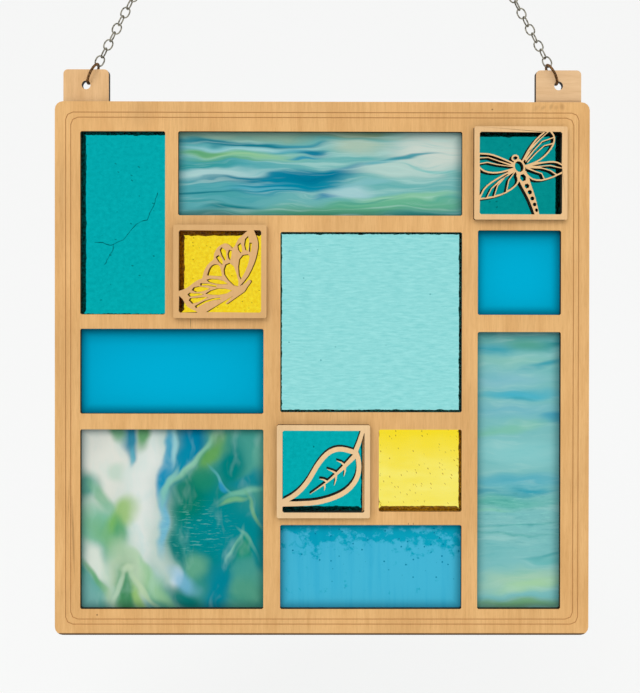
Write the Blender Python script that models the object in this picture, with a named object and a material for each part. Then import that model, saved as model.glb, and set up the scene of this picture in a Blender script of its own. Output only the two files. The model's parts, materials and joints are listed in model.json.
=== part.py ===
"""A glass window hanging: coloured panes held between three laser-cut boards, on a chain.

X runs to the right, Z up, and the front faces -Y. The origin is where the top ring
hangs on its hook, and y = 0 is the middle of the core board, which carries the tabs.
"""

import math

import bmesh
import bpy
from mathutils import Vector
from mathutils.geometry import delaunay_2d_cdt

# Openings and the bars between them, left to right and top to bottom
COLUMN_WIDTHS = (0.0484, 0.0488, 0.0470, 0.0474, 0.0476)
COLUMN_BARS = (0.0074, 0.0096, 0.0094, 0.0090)
ROW_HEIGHTS = (0.0479, 0.0478, 0.0473, 0.0470, 0.0482)
ROW_BARS = (0.0088, 0.0090, 0.0094, 0.0076)
LEFT_MARGIN = 0.0145
RIGHT_MARGIN = 0.0162
TOP_MARGIN = 0.0170
BOTTOM_MARGIN = 0.0148

# Boards and glass
FRONT_THICKNESS = 0.0032
GLASS_THICKNESS = 0.0040
BACK_THICKNESS = 0.0032
OVERLAY_THICKNESS = 0.0030
GLUE_GAP = 0.0003
GLASS_SEAT = 0.0020
GLASS_CLEARANCE = 0.0003
PANEL_CORNER_RADIUS = 0.0046
OPENING_CORNER_RADIUS = 0.0007

# Engraved double line round the front
ENGRAVING_INSETS = (0.0062, 0.0091)
ENGRAVING_WIDTH = 0.0005
ENGRAVING_DEPTH = 0.0003
ENGRAVING_CORNER_RADIUS = 0.0041

# Tabs on the core board
TAB_WIDTH = 0.0260
TAB_HEIGHT = 0.0190
TAB_ROOT = 0.0060
TAB_CORNER_RADIUS = 0.0025
TAB_SIDE_INSET = 0.0040
TAB_HOLE_RADIUS = 0.00255
TAB_HOLE_BELOW_TOP = 0.0089

# Raised square frames that carry the cut-outs
OVERLAY_SIDE = 0.0530
OVERLAY_BORDER = 0.0033
OVERLAY_CORNER_RADIUS = 0.0007

# Hanging hardware
JUMP_RING_OUTER = 0.0142
JUMP_RING_WIRE = 0.0015
LINK_PITCH = 0.00525
LINK_WIDTH = 0.0056
LINK_WIRE = 0.0009
LINK_CONTACT = 0.0001
LINKS_PER_LEG = 52
TOP_RING_OUTER = 0.0160
TOP_RING_WIRE = 0.0020
WIRE_GAP = 0.0003
HOLE_GAP = 0.0005

# First and last column, first and last row of each opening
OPENINGS = {
    "tall_teal": (0, 0, 0, 1),
    "wide_swirl": (1, 3, 0, 0),
    "dragonfly": (4, 4, 0, 0),
    "butterfly": (1, 1, 1, 1),
    "large_aqua": (2, 3, 1, 2),
    "small_blue": (4, 4, 1, 1),
    "wide_blue": (0, 1, 2, 2),
    "tall_swirl": (4, 4, 2, 4),
    "large_swirl": (0, 1, 3, 4),
    "leaf": (2, 2, 3, 3),
    "small_yellow": (3, 3, 3, 3),
    "mottled_blue": (2, 3, 4, 4),
}

# How far hand-fitted openings reach past the grid: left, bottom, right, top
HAND_FIT = {
    "small_blue": (0.0, 0.0, 0.0, 0.0005),
    "large_aqua": (0.0, -0.0005, 0.0, -0.0006),
    "wide_blue": (0.0, 0.0004, 0.0, 0.0008),
    "tall_swirl": (0.0, 0.0, 0.0, -0.0008),
}

# How far each raised frame sits from the middle of its opening
OVERLAY_SHIFT = {
    "dragonfly": (0.0, 0.0001),
    "butterfly": (-0.0002, 0.0006),
    "leaf": (0.0012, 0.0),
}

# Colour, roughness and metallic value of each material
MATERIALS = {
    "maple": ((0.730, 0.417, 0.156), 0.55, 0.0),
    "light_maple": ((0.791, 0.522, 0.266), 0.55, 0.0),
    "teal_glass": ((0.001, 0.392, 0.418), 0.1, 0.0),
    "yellow_glass": ((0.895, 0.700, 0.030), 0.1, 0.0),
    "aqua_glass": ((0.283, 0.708, 0.708), 0.1, 0.0),
    "blue_glass": ((0.001, 0.371, 0.604), 0.15, 0.0),
    "mottled_glass": ((0.034, 0.429, 0.617), 0.15, 0.0),
    "swirl_glass": ((0.150, 0.429, 0.402), 0.15, 0.0),
    "grey_steel": ((0.230, 0.222, 0.202), 0.4, 1.0),
    "antique_brass": ((0.240, 0.140, 0.064), 0.4, 1.0),
}

PANE_MATERIALS = {
    "tall_teal": "teal_glass",
    "wide_swirl": "swirl_glass",
    "dragonfly": "teal_glass",
    "butterfly": "yellow_glass",
    "large_aqua": "aqua_glass",
    "small_blue": "blue_glass",
    "wide_blue": "blue_glass",
    "tall_swirl": "swirl_glass",
    "large_swirl": "swirl_glass",
    "leaf": "teal_glass",
    "small_yellow": "yellow_glass",
    "mottled_blue": "mottled_glass",
}

PANEL_WIDTH = LEFT_MARGIN + sum(COLUMN_WIDTHS) + sum(COLUMN_BARS) + RIGHT_MARGIN
PANEL_HEIGHT = TOP_MARGIN + sum(ROW_HEIGHTS) + sum(ROW_BARS) + BOTTOM_MARGIN
CORE_THICKNESS = GLASS_THICKNESS
CORE_FRONT = -CORE_THICKNESS / 2
CORE_BACK = CORE_THICKNESS / 2
FRONT_BACK = CORE_FRONT - GLUE_GAP
FRONT_FACE = FRONT_BACK - FRONT_THICKNESS
BACK_FRONT = CORE_BACK + GLUE_GAP
BACK_FACE = BACK_FRONT + BACK_THICKNESS
OVERLAY_BACK = FRONT_FACE - GLUE_GAP
OVERLAY_FACE = OVERLAY_BACK - OVERLAY_THICKNESS
OVERLAY_OPENING = OVERLAY_SIDE - 2 * OVERLAY_BORDER

LINK_LENGTH = LINK_PITCH - LINK_CONTACT + 2 * LINK_WIRE
TAB_CENTRE_X = PANEL_WIDTH / 2 - TAB_SIDE_INSET - TAB_WIDTH / 2
JUMP_RING_RADIUS = (JUMP_RING_OUTER - JUMP_RING_WIRE) / 2
TOP_RING_RADIUS = (TOP_RING_OUTER - TOP_RING_WIRE) / 2

# Distances along a chain leg, measured from the middle of the tab's hole
RING_SEAT = TAB_HOLE_RADIUS - JUMP_RING_WIRE / 2 - HOLE_GAP
JUMP_RING_CENTRE = RING_SEAT + JUMP_RING_RADIUS
FIRST_LINK_START = JUMP_RING_CENTRE + JUMP_RING_RADIUS - JUMP_RING_WIRE / 2 - WIRE_GAP - LINK_WIRE
FIRST_LINK_CENTRE = FIRST_LINK_START + LINK_LENGTH / 2
LAST_LINK_CENTRE = FIRST_LINK_CENTRE + (LINKS_PER_LEG - 1) * LINK_PITCH
LAST_LINK_INNER_END = LAST_LINK_CENTRE + LINK_LENGTH / 2 - LINK_WIRE
LEG_LENGTH = LAST_LINK_INNER_END - WIRE_GAP - TOP_RING_WIRE / 2 + TOP_RING_RADIUS
LEG_RISE = math.sqrt(LEG_LENGTH**2 - TAB_CENTRE_X**2)

TOP_RING_Z = -(TOP_RING_RADIUS - TOP_RING_WIRE / 2)
HOLE_Z = TOP_RING_Z - LEG_RISE
PANEL_TOP = HOLE_Z + TAB_HOLE_BELOW_TOP - TAB_HEIGHT
PANEL_BOTTOM = PANEL_TOP - PANEL_HEIGHT

# How finely curves are cut into straight runs
CURVE_STEPS = 2
PANEL_CORNER_STEPS = 4
ENGRAVING_CORNER_STEPS = 2
TAB_CORNER_STEPS = 4
TAB_HOLE_SIDES = 12
OVAL_SIDES = 12
SMALL_OVAL_SIDES = 6
JUMP_RING_STEPS = 12
TOP_RING_STEPS = 16
WIRE_SIDES = 6
POINT_MERGE = 1e-6


def clear_scene():
    for item in list(bpy.data.objects):
        bpy.data.objects.remove(item)


def material(name):
    found = bpy.data.materials.get(name)
    if found:
        return found
    colour, roughness, metallic = MATERIALS[name]
    found = bpy.data.materials.new(name)
    found.use_nodes = True
    shader = found.node_tree.nodes["Principled BSDF"]
    shader.inputs["Base Color"].default_value = (*colour, 1.0)
    shader.inputs["Roughness"].default_value = roughness
    shader.inputs["Metallic"].default_value = metallic
    return found


def make_object(name, mesh, material_name):
    item = bpy.data.objects.new(name, mesh)
    item.data.materials.append(material(material_name))
    bpy.context.scene.collection.objects.link(item)
    return item


# Flat outlines, as lists of (x, z) points


def rectangle(left, bottom, right, top):
    return [Vector(point) for point in ((left, bottom), (right, bottom), (right, top), (left, top))]


def rounded_rectangle(left, bottom, right, top, radius, steps=1):
    """Runs anticlockwise, with each corner's arc in this many steps."""
    outline = []
    corners = (
        (right - radius, top - radius, 0),
        (left + radius, top - radius, 1),
        (left + radius, bottom + radius, 2),
        (right - radius, bottom + radius, 3),
    )
    for x, z, quarter in corners:
        for step in range(steps + 1):
            angle = math.pi / 2 * (quarter + step / steps)
            outline.append(Vector((x + radius * math.cos(angle), z + radius * math.sin(angle))))
    return outline


def ellipse(centre, radii, tilt=0.0, sides=OVAL_SIDES):
    outline = []
    for side in range(sides):
        angle = 2 * math.pi * side / sides
        across = radii[0] * math.cos(angle)
        along = radii[1] * math.sin(angle)
        x = across * math.cos(tilt) - along * math.sin(tilt)
        z = across * math.sin(tilt) + along * math.cos(tilt)
        outline.append(Vector((centre[0] + x, centre[1] + z)))
    return outline


def smooth(points, closed=False, steps=CURVE_STEPS):
    """A Catmull-Rom curve through the points."""
    given = [Vector(point) for point in points]
    count = len(given)
    spans = count if closed else count - 1
    curve = []
    for span in range(spans):
        if closed:
            before, start, end, after = (given[(span + shift) % count] for shift in (-1, 0, 1, 2))
        else:
            start, end = given[span], given[span + 1]
            before = given[span - 1] if span else 2 * start - end
            after = given[span + 2] if span + 2 < count else 2 * end - start
        for step in range(steps):
            t = step / steps
            curve.append(
                0.5
                * (
                    2 * start
                    + (end - before) * t
                    + (2 * before - 5 * start + 4 * end - after) * t**2
                    + (3 * start - before - 3 * end + after) * t**3
                )
            )
    if not closed:
        curve.append(given[-1])
    return curve


def band(points, start_width, end_width, steps=CURVE_STEPS):
    """The outline of a stroke along a smooth curve, whose width changes evenly."""
    curve = smooth(points, steps=steps)
    left, right = [], []
    for index, point in enumerate(curve):
        ahead = curve[min(index + 1, len(curve) - 1)]
        behind = curve[max(index - 1, 0)]
        direction = (ahead - behind).normalized()
        aside = Vector((-direction.y, direction.x))
        share = index / (len(curve) - 1)
        half = (start_width + (end_width - start_width) * share) / 2
        left.append(point + aside * half)
        right.append(point - aside * half)
    return right + left[::-1]


def anticlockwise(outline):
    area = sum(
        start.x * end.y - end.x * start.y for start, end in zip(outline, outline[1:] + outline[:1])
    )
    return outline if area > 0 else outline[::-1]


# Boards: each layer sets where the front face lies inside its outline


def plate(name, layers, back, material_name):
    """A board cut from (front face, outline) layers, the later ones over the earlier.

    A front face of None is a hole right through.
    """
    points, loops = [], []
    for _, outline in layers:
        loops.append(range(len(points), len(points) + len(outline)))
        points += anticlockwise(outline)
    flat, _, triangles, _, _, sources = delaunay_2d_cdt(points, [], loops, 1, POINT_MERGE)
    faces = {}
    for corners, inside in zip(triangles, sources):
        level = layers[max(inside)][0] if inside else None
        if level is not None:
            for turn in range(3):
                faces[corners[turn], corners[(turn + 1) % 3]] = (tuple(corners), level)

    shape = bmesh.new()
    corner_at = {}

    def corner(index, y):
        if (index, y) not in corner_at:
            corner_at[index, y] = shape.verts.new((flat[index].x, y, flat[index].y))
        return corner_at[index, y]

    for corners, level in sorted(set(faces.values())):
        shape.faces.new([corner(index, level) for index in corners])
        shape.faces.new([corner(index, back) for index in reversed(corners)])
    for (start, end), (_, level) in faces.items():
        _, beside = faces.get((end, start), (None, back))
        if beside > level:
            wall = ((start, level), (start, beside), (end, beside), (end, level))
            shape.faces.new([corner(index, y) for index, y in wall])
    mesh = bpy.data.meshes.new(name)
    shape.to_mesh(mesh)
    shape.free()
    return make_object(name, mesh, material_name)


def opening_box(name):
    """The left, bottom, right and top of an opening in the boards."""
    first_column, last_column, first_row, last_row = OPENINGS[name]
    left = -PANEL_WIDTH / 2 + LEFT_MARGIN + sum(COLUMN_WIDTHS[:first_column])
    left += sum(COLUMN_BARS[:first_column])
    right = left + sum(COLUMN_WIDTHS[first_column : last_column + 1])
    right += sum(COLUMN_BARS[first_column:last_column])
    top = PANEL_TOP - TOP_MARGIN - sum(ROW_HEIGHTS[:first_row]) - sum(ROW_BARS[:first_row])
    bottom = top - sum(ROW_HEIGHTS[first_row : last_row + 1]) - sum(ROW_BARS[first_row:last_row])
    more_left, more_bottom, more_right, more_top = HAND_FIT.get(name, (0.0, 0.0, 0.0, 0.0))
    return left - more_left, bottom - more_bottom, right + more_right, top + more_top


def grown_box(box, distance):
    left, bottom, right, top = box
    return left - distance, bottom - distance, right + distance, top + distance


def panel_outline(inset, radius, steps):
    box = (-PANEL_WIDTH / 2, PANEL_BOTTOM, PANEL_WIDTH / 2, PANEL_TOP)
    return rounded_rectangle(*grown_box(box, -inset), radius, steps)


def make_front_frame():
    layers = [(FRONT_FACE, panel_outline(0, PANEL_CORNER_RADIUS, PANEL_CORNER_STEPS))]
    half = ENGRAVING_WIDTH / 2
    for inset in ENGRAVING_INSETS:
        for edge, level in ((-half, FRONT_FACE + ENGRAVING_DEPTH), (half, FRONT_FACE)):
            radius = ENGRAVING_CORNER_RADIUS - edge
            layers.append((level, panel_outline(inset + edge, radius, ENGRAVING_CORNER_STEPS)))
    for name in OPENINGS:
        layers.append((None, rounded_rectangle(*opening_box(name), OPENING_CORNER_RADIUS)))
    plate("front_frame", layers, FRONT_BACK, "maple")


def make_core_frame():
    layers = [(CORE_FRONT, panel_outline(0, PANEL_CORNER_RADIUS, PANEL_CORNER_STEPS))]
    for side in (-1, 1):
        centre = side * TAB_CENTRE_X
        left, right = centre - TAB_WIDTH / 2, centre + TAB_WIDTH / 2
        bottom, top = PANEL_TOP - TAB_ROOT, PANEL_TOP + TAB_HEIGHT
        tab = rounded_rectangle(left, bottom, right, top, TAB_CORNER_RADIUS, TAB_CORNER_STEPS)
        radii = (TAB_HOLE_RADIUS, TAB_HOLE_RADIUS)
        hole = ellipse((centre, HOLE_Z), radii, sides=TAB_HOLE_SIDES)
        layers += [(CORE_FRONT, tab), (None, hole)]
    for name in OPENINGS:
        pocket = grown_box(opening_box(name), GLASS_SEAT + GLASS_CLEARANCE)
        layers.append((None, rectangle(*pocket)))
    plate("core_frame", layers, CORE_BACK, "light_maple")


def make_back_frame():
    layers = [(BACK_FRONT, panel_outline(0, PANEL_CORNER_RADIUS, PANEL_CORNER_STEPS))]
    for name in OPENINGS:
        layers.append((None, rectangle(*opening_box(name))))
    plate("back_frame", layers, BACK_FACE, "maple")


def make_panes():
    for name in OPENINGS:
        pane = rectangle(*grown_box(opening_box(name), GLASS_SEAT))
        plate(f"{name}_pane", [(CORE_FRONT, pane)], CORE_BACK, PANE_MATERIALS[name])


# Cut-outs, in shares of the raised frame's opening: 0 to 1 from its lower left corner


def leaf_layers():
    """(solid, outline) pairs: a leaf's rim and stem, with a midrib and six spurs."""
    upper_rim = (
        (0.885, 0.735), (0.775, 0.768), (0.680, 0.776), (0.585, 0.745), (0.498, 0.671),
        (0.411, 0.554), (0.325, 0.405), (0.229, 0.283), (0.120, 0.193), (-0.020, 0.118),
    )
    lower_rim = (
        (0.885, 0.760), (0.922, 0.670), (0.936, 0.560), (0.921, 0.456), (0.870, 0.353),
        (0.775, 0.257), (0.645, 0.187), (0.489, 0.138), (0.325, 0.113), (-0.020, 0.100),
    )
    stem = ((0.985, 1.020), (0.940, 0.870), (0.885, 0.730))
    midrib = ((0.890, 0.700), (0.757, 0.562), (0.654, 0.466), (0.532, 0.362), (0.333, 0.222))
    spurs = (
        ((0.765, 0.570), (0.720, 0.612), (0.660, 0.636)),
        ((0.665, 0.475), (0.610, 0.506), (0.541, 0.532)),
        ((0.545, 0.374), (0.505, 0.400), (0.450, 0.412)),
        ((0.765, 0.570), (0.764, 0.500), (0.749, 0.440)),
        ((0.655, 0.468), (0.652, 0.400), (0.632, 0.327)),
        ((0.510, 0.350), (0.518, 0.310), (0.511, 0.266)),
    )
    rim_width, stem_width, spur_width, tip_width = 0.062, 0.050, 0.034, 0.008
    pairs = [
        (True, band(upper_rim, rim_width, rim_width)),
        (True, band(lower_rim, rim_width, rim_width)),
        (True, band(stem, stem_width, rim_width)),
        (True, band(midrib, rim_width, tip_width)),
    ]
    pairs += [(True, band(spur, spur_width, tip_width, steps=1)) for spur in spurs]
    return pairs


def dragonfly_layers():
    """(solid, outline) pairs: four veined wings, a ringed body and a pierced tail."""
    wing_edges = (
        ((0.500, 0.600), (0.587, 0.770), (0.683, 0.905), (0.775, 0.990), (0.810, 1.020)),
        ((0.500, 0.570), (0.640, 0.617), (0.740, 0.668), (0.830, 0.750), (0.888, 0.835),
         (0.908, 0.905), (0.898, 0.965), (0.850, 1.020)),
        ((0.500, 0.560), (0.690, 0.612), (0.848, 0.637), (0.945, 0.630), (1.020, 0.590)),
        ((0.530, 0.560), (0.575, 0.480), (0.645, 0.425), (0.752, 0.413), (0.890, 0.452),
         (1.020, 0.517)),
        ((0.480, 0.590), (0.370, 0.635), (0.222, 0.697), (0.109, 0.730), (-0.020, 0.735)),
        ((0.470, 0.570), (0.400, 0.552), (0.265, 0.512), (0.152, 0.502), (0.048, 0.525),
         (-0.020, 0.580)),
        ((0.470, 0.570), (0.385, 0.528), (0.265, 0.460), (0.135, 0.380), (0.045, 0.295),
         (-0.012, 0.165)),
        ((0.450, 0.510), (0.468, 0.405), (0.422, 0.335), (0.317, 0.262), (0.170, 0.208),
         (-0.020, 0.178)),
    )
    veins = (
        ((0.545, 0.655), (0.640, 0.810), (0.735, 0.918), (0.840, 1.010)),
        ((0.555, 0.635), (0.660, 0.780), (0.760, 0.885), (0.905, 0.940)),
        ((0.575, 0.625), (0.690, 0.750), (0.785, 0.835), (0.895, 0.865)),
        ((0.560, 0.568), (0.717, 0.580), (0.860, 0.592), (1.010, 0.560)),
        ((0.560, 0.565), (0.760, 0.560), (0.860, 0.532), (0.950, 0.475)),
        ((0.560, 0.560), (0.674, 0.520), (0.755, 0.495), (0.790, 0.425)),
        ((-0.010, 0.682), (0.100, 0.690), (0.230, 0.645), (0.430, 0.590)),
        ((-0.010, 0.610), (0.090, 0.630), (0.210, 0.603), (0.430, 0.575)),
        ((0.420, 0.530), (0.240, 0.405), (0.140, 0.310), (0.080, 0.190)),
        ((0.300, 0.445), (0.215, 0.345), (0.175, 0.215)),
        ((0.430, 0.520), (0.352, 0.413), (0.322, 0.268)),
    )
    lean = math.radians(19)
    thorax, head = (0.478, 0.578), (0.430, 0.683)
    tail = ((0.500, 0.500), (0.574, 0.339), (0.640, 0.185), (0.702, -0.010))
    tail_holes = (
        (0.526, 0.443, 0.034, 0.042),
        (0.574, 0.341, 0.026, 0.026),
        (0.609, 0.265, 0.024, 0.024),
        (0.640, 0.189, 0.022, 0.021),
        (0.669, 0.116, 0.019, 0.019),
        (0.692, 0.046, 0.014, 0.019),
    )
    edge_width, vein_width = 0.027, 0.021
    tail_root, tail_tip = 0.145, 0.062
    head_outer, head_inner = (0.052, 0.048), (0.024, 0.018)
    thorax_outer, thorax_inner = (0.080, 0.100), (0.048, 0.064)
    pairs = [(True, band(points, edge_width, edge_width)) for points in wing_edges]
    pairs += [(True, band(points, vein_width, vein_width, steps=1)) for points in veins]
    pairs += [
        (True, band(tail, tail_root, tail_tip)),
        (True, ellipse(head, head_outer, lean)),
        (False, ellipse(head, head_inner, lean, SMALL_OVAL_SIDES)),
        (True, ellipse(thorax, thorax_outer, lean)),
        (False, ellipse(thorax, thorax_inner, lean)),
    ]
    for across, up, half_width, half_height in tail_holes:
        hole = ellipse((across, up), (half_width, half_height), lean, SMALL_OVAL_SIDES)
        pairs.append((False, hole))
    return pairs


def butterfly_layers():
    """(solid, outline) pairs: a butterfly seen from the side, with its wing cells."""
    stretches = (
        ((0.911, 1.013), (0.952, 0.925), (0.970, 0.840), (0.960, 0.740), (0.925, 0.610),
         (0.847, 0.445), (0.746, 0.318)),
        ((0.785, 0.348), (0.820, 0.372), (0.853, 0.402), (0.886, 0.379), (0.838, 0.312),
         (0.805, 0.254)),
        ((0.585, 0.097), (0.568, 0.112), (0.655, 0.205)),
        ((0.335, 0.000), (0.330, -0.015), (0.250, -0.015)),
        ((0.203, 0.013), (0.102, 0.064), (0.042, 0.157), (-0.010, 0.205)),
        ((-0.015, 0.258), (0.085, 0.297), (0.161, 0.352), (0.220, 0.392), (0.280, 0.419)),
        ((0.301, 0.504), (0.345, 0.582), (0.419, 0.650)),
        ((0.424, 0.716), (0.468, 0.795), (0.555, 0.847), (0.610, 0.830), (0.653, 0.788)),
        ((0.682, 0.815), (0.715, 0.890), (0.780, 0.953), (0.845, 1.013)),
    )
    cells = (
        ((0.839, 0.706), (0.780, 0.699), (0.737, 0.648), (0.725, 0.555), (0.733, 0.453),
         (0.758, 0.407), (0.805, 0.496), (0.843, 0.597), (0.860, 0.682)),
        ((0.614, 0.602), (0.568, 0.581), (0.547, 0.521), (0.555, 0.462), (0.602, 0.394),
         (0.669, 0.331), (0.722, 0.322), (0.724, 0.377), (0.700, 0.470), (0.665, 0.564)),
        ((0.517, 0.791), (0.546, 0.775), (0.572, 0.752), (0.574, 0.708), (0.576, 0.645),
         (0.555, 0.640), (0.521, 0.699), (0.500, 0.763)),
        ((0.612, 0.760), (0.640, 0.754), (0.638, 0.700), (0.628, 0.640), (0.608, 0.660),
         (0.596, 0.715)),
        ((0.479, 0.695), (0.508, 0.674), (0.532, 0.623), (0.530, 0.584), (0.483, 0.623),
         (0.453, 0.674)),
        ((0.746, 0.847), (0.716, 0.818), (0.725, 0.767), (0.754, 0.729), (0.769, 0.750),
         (0.763, 0.809)),
        ((0.839, 0.931), (0.809, 0.894), (0.799, 0.826), (0.814, 0.765), (0.840, 0.758),
         (0.850, 0.809), (0.854, 0.886)),
        ((0.339, 0.394), (0.381, 0.407), (0.466, 0.403), (0.542, 0.382), (0.597, 0.350),
         (0.517, 0.345), (0.432, 0.354), (0.364, 0.373)),
        ((0.161, 0.271), (0.178, 0.301), (0.237, 0.314), (0.314, 0.305), (0.377, 0.291),
         (0.314, 0.270), (0.263, 0.254), (0.203, 0.252)),
        ((0.108, 0.216), (0.127, 0.236), (0.178, 0.229), (0.246, 0.231), (0.301, 0.225),
         (0.246, 0.208), (0.178, 0.199), (0.127, 0.195)),
        ((0.326, 0.225), (0.381, 0.263), (0.466, 0.289), (0.559, 0.289), (0.645, 0.271),
         (0.576, 0.232), (0.483, 0.214), (0.398, 0.216)),
        ((0.123, 0.148), (0.136, 0.169), (0.212, 0.175), (0.297, 0.184), (0.356, 0.189),
         (0.297, 0.161), (0.229, 0.127), (0.161, 0.108)),
    )
    slits = (
        ((0.875, 0.848), (0.872, 0.795), (0.868, 0.746)),
        ((0.263, 0.341), (0.347, 0.341), (0.455, 0.320)),
        ((0.203, 0.064), (0.314, 0.128), (0.415, 0.160), (0.500, 0.170)),
    )
    dome = ((0.347, 0.453), (0.364, 0.513), (0.398, 0.568), (0.449, 0.585), (0.492, 0.564),
            (0.512, 0.504), (0.522, 0.444))
    slit_width, slit_tip = 0.022, 0.016
    silhouette = []
    for stretch in stretches:
        silhouette += smooth(stretch)
    pairs = [(True, silhouette), (False, smooth(dome))]
    pairs += [(False, smooth(cell, closed=True, steps=CURVE_STEPS - 1)) for cell in cells]
    pairs += [(False, band(slit, slit_width, slit_tip, steps=1)) for slit in slits]
    return pairs


CUT_OUTS = {
    "dragonfly": dragonfly_layers,
    "butterfly": butterfly_layers,
    "leaf": leaf_layers,
}


def overlay_centre(name):
    left, bottom, right, top = opening_box(name)
    shift_x, shift_z = OVERLAY_SHIFT[name]
    return Vector(((left + right) / 2 + shift_x, (bottom + top) / 2 + shift_z))


def make_overlay(name):
    """A square frame and its cut-out, sawn from one sheet."""
    centre = overlay_centre(name)
    half = OVERLAY_SIDE / 2
    square = (centre.x - half, centre.y - half, centre.x + half, centre.y + half)
    window = grown_box(square, -OVERLAY_BORDER)
    corner = Vector(window[:2])
    rim = rounded_rectangle(*square, OVERLAY_CORNER_RADIUS)
    hole = rounded_rectangle(*window, OVERLAY_CORNER_RADIUS)
    layers = [(OVERLAY_FACE, rim), (None, hole)]
    for solid, outline in CUT_OUTS[name]():
        placed = [corner + point * OVERLAY_OPENING for point in outline]
        layers.append((OVERLAY_FACE if solid else None, placed))
    plate(f"{name}_frame", layers, OVERLAY_BACK, "light_maple")


# Rings and chain


def closed_wire(shape, path, normal, section):
    """Adds a wire round a closed flat path. Its section's points run (outward, along normal)."""
    rings = []
    count = len(path)
    centre = sum(path, Vector()) / count
    for index, point in enumerate(path):
        ahead = (path[(index + 1) % count] - point).normalized()
        behind = (point - path[index - 1]).normalized()
        outward = (ahead + behind).normalized().cross(normal)
        if outward.dot(point - centre) < 0:
            outward.negate()
        mitre = 1 / abs(outward.dot(ahead.cross(normal)))
        rings.append([shape.verts.new(point + outward * a * mitre + normal * b) for a, b in section])
    for index, ring in enumerate(rings):
        following = rings[(index + 1) % count]
        for side, start in enumerate(ring):
            turned = (side + 1) % len(ring)
            shape.faces.new((start, ring[turned], following[turned], following[side]))


def round_section(radius, sides):
    angles = (2 * math.pi * side / sides for side in range(sides))
    return [(radius * math.cos(angle), radius * math.sin(angle)) for angle in angles]


def wire_object(name, paths, normals, section, material_name):
    shape = bmesh.new()
    for path, normal in zip(paths, normals):
        closed_wire(shape, path, normal, section)
    bmesh.ops.recalc_face_normals(shape, faces=shape.faces)
    mesh = bpy.data.meshes.new(name)
    shape.to_mesh(mesh)
    shape.free()
    mesh.shade_smooth()
    return make_object(name, mesh, material_name)


def circle_path(centre, radius, first, second, steps):
    """A circle in the plane of two unit vectors."""
    path = []
    for step in range(steps):
        angle = 2 * math.pi * (step + 0.5) / steps
        path.append(centre + (first * math.cos(angle) + second * math.sin(angle)) * radius)
    return path


def link_path(centre, along, aside):
    """The middle of a link's wire: flat at both ends, widest at the waist."""
    half_length = (LINK_LENGTH - LINK_WIRE) / 2
    half_width = (LINK_WIDTH - LINK_WIRE) / 2
    half_end = half_width / 2
    corners = (
        (half_width, 0.0),
        (half_end, half_length),
        (-half_end, half_length),
        (-half_width, 0.0),
        (-half_end, -half_length),
        (half_end, -half_length),
    )
    return [centre + aside * across + along * up for across, up in corners]


def make_leg(side):
    """One jump ring and the chain that runs from it up to the top ring."""
    label = "left" if side < 0 else "right"
    hole = Vector((side * TAB_CENTRE_X, 0.0, HOLE_Z))
    along = (Vector((0.0, 0.0, TOP_RING_Z)) - hole).normalized()
    depth = Vector((0.0, 1.0, 0.0))
    aside = along.cross(depth)

    centre = hole + along * JUMP_RING_CENTRE
    ring = circle_path(centre, JUMP_RING_RADIUS, along, depth, JUMP_RING_STEPS)
    section = round_section(JUMP_RING_WIRE / 2, WIRE_SIDES)
    wire_object(f"{label}_jump_ring", [ring], [aside], section, "antique_brass")

    half_wire = LINK_WIRE / 2
    ridged = [(-half_wire, 0.0), (half_wire, -half_wire), (half_wire, half_wire)]
    facing, turned = [], []
    for number in range(LINKS_PER_LEG):
        centre = hole + along * (FIRST_LINK_CENTRE + number * LINK_PITCH)
        if number % 2:
            turned.append(link_path(centre, along, depth))
        else:
            facing.append(link_path(centre, along, aside))
    chain = wire_object(f"{label}_chain", facing, [depth] * len(facing), ridged, "grey_steel")
    others = wire_object(
        f"{label}_turned_links", turned, [aside] * len(turned), ridged, "grey_steel"
    )
    others.hide_render = True
    others.display_type = "WIRE"
    fuse = chain.modifiers.new("fuse", "BOOLEAN")
    fuse.operation = "UNION"
    fuse.solver = "EXACT"
    fuse.object = others


def make_top_ring():
    centre = Vector((0.0, 0.0, TOP_RING_Z))
    across, up = Vector((1.0, 0.0, 0.0)), Vector((0.0, 0.0, 1.0))
    path = circle_path(centre, TOP_RING_RADIUS, across, up, TOP_RING_STEPS)
    section = round_section(TOP_RING_WIRE / 2, WIRE_SIDES)
    wire_object("top_ring", [path], [Vector((0.0, 1.0, 0.0))], section, "grey_steel")


def main():
    clear_scene()
    make_front_frame()
    make_core_frame()
    make_back_frame()
    make_panes()
    for name in CUT_OUTS:
        make_overlay(name)
    make_leg(-1)
    make_leg(1)
    make_top_ring()


main()
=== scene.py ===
"""The looks of a glass window hanging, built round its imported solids.

Everything is in metres, in the frame of the solids: X to the right, Z up, front towards -Y.
"""

import json
import math
import random

import bmesh
import bpy
from mathutils import Euler, Matrix, Vector, noise

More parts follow.
